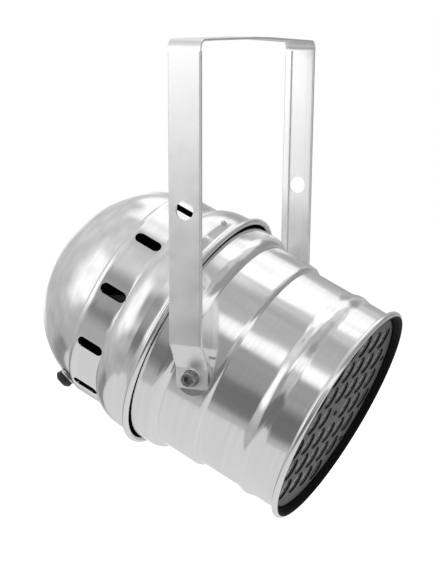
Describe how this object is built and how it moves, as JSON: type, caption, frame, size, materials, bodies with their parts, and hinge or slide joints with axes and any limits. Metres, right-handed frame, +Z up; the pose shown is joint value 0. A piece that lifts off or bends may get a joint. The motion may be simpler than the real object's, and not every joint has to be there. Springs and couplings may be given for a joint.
{
  "type": "led par can",
  "caption": "Short polished LED par can with a domed rear shell, slotted cooling band and hexagonal lens plate, tilting by friction in a U-shaped yoke.",
  "frame": {"origin": "centre of the clamp hole, on top of the yoke's crossbar", "axes": "+Z up along the clamp hole, +Y along the crossbar and the pivot line, +X the way the can points at rest, seen from above"},
  "size_m": [0.3462, 0.2676, 0.4451],
  "materials": {
    "yoke_metal": "satin drawn strip",
    "polished_aluminium": "spun and mirror polished",
    "black_steel": "blackened, slightly glossy",
    "bright_steel": "bright zinc",
    "washer_fibre": "dark friction washer",
    "cast_aluminium": "matt",
    "plate_paint": "dark grey satin paint",
    "black_rubber": "matt",
    "lens_clear": "clear moulded acrylic, polished",
    "black_plastic": "fine grain",
    "led_yellow": "silicone dome on a white carrier",
    "white_board": "white solder mask",
    "board_green": "green solder mask",
    "copper_winding": "enamelled copper under yellow tape",
    "capacitor_sleeve": "dark blue sleeve",
    "terminal_green": "moulded",
    "window_red": "smoked red window",
    "button_grey": "moulded",
    "panel_black": "black powder coat"
  },
  "bodies": {
    "yoke": {"yoke": "yoke_metal"},
    "can": {"pivot_bolts": "black_steel", "bolt_washers": "bright_steel", "friction_washers": "washer_fibre", "saddle_spacers": "cast_aluminium", "inner_spacers": "cast_aluminium", "pivot_nuts": "bright_steel", "front_tube": "polished_aluminium", "rear_shell": "polished_aluminium", "shell_screws": "bright_steel", "shell_nuts": "bright_steel", "front_gasket": "black_rubber", "lens_plate": "plate_paint", "plate_screws": "bright_steel", "plate_posts": "bright_steel", "lenses": "lens_clear", "lens_holders": "black_plastic", "led_emitters": "led_yellow", "led_board": "white_board", "heat_sink": "cast_aluminium", "side_brackets": "bright_steel", "sink_screws": "bright_steel", "driver_plate": "bright_steel", "driver_plate_screws": "bright_steel", "driver_standoffs": "bright_steel", "driver_board": "board_green", "board_screws": "bright_steel", "transformer": "copper_winding", "capacitors": "capacitor_sleeve", "terminal_block": "terminal_green", "gland_cap": "black_plastic", "gland_washer": "bright_steel", "gland_body": "black_plastic", "gland_seal": "black_rubber", "gland_nut": "bright_steel", "rear_panel": "panel_black", "clamp_ring": "bright_steel", "panel_screws": "bright_steel", "display_window": "window_red", "display_module": "black_plastic", "control_board": "board_green", "control_standoffs": "bright_steel", "control_screws": "bright_steel", "tact_switches": "black_plastic", "data_in_socket": "black_steel", "data_in_pins": "bright_steel", "data_out_socket": "black_steel", "data_out_insert": "black_plastic", "socket_screws": "bright_steel"},
    "button_menu": {"button_menu": "button_grey"},
    "button_down": {"button_down": "button_grey"},
    "button_up": {"button_up": "button_grey"},
    "button_enter": {"button_enter": "button_grey"},
    "data_out_latch": {"data_out_latch": "bright_steel"}
  },
  "joints": [
    {"name": "can_tilt", "type": "hinge", "parent": "yoke", "child": "can", "pos_m": [0, 0, -0.2958], "axis": [0, 1, 0], "range_deg": [-115, 65]},
    {"name": "button_menu_press", "type": "slide", "parent": "can", "child": "button_menu", "axis": [0.7436, -0.5736, -0.3436], "range_m": [0, 0.0008], "stiffness_N_per_m": 800, "springref_m": -0.0005},
    {"name": "button_down_press", "type": "slide", "parent": "can", "child": "button_down", "axis": [0.7436, -0.5736, -0.3436], "range_m": [0, 0.0008], "stiffness_N_per_m": 800, "springref_m": -0.0005},
    {"name": "button_up_press", "type": "slide", "parent": "can", "child": "button_up", "axis": [0.7436, -0.5736, -0.3436], "range_m": [0, 0.0008], "stiffness_N_per_m": 800, "springref_m": -0.0005},
    {"name": "button_enter_press", "type": "slide", "parent": "can", "child": "button_enter", "axis": [0.7436, -0.5736, -0.3436], "range_m": [0, 0.0008], "stiffness_N_per_m": 800, "springref_m": -0.0005},
    {"name": "data_out_latch_press", "type": "slide", "parent": "can", "child": "data_out_latch", "axis": [0.7436, -0.5736, -0.3436], "range_m": [0, 0.001], "stiffness_N_per_m": 800, "springref_m": -0.0005}
  ]
}
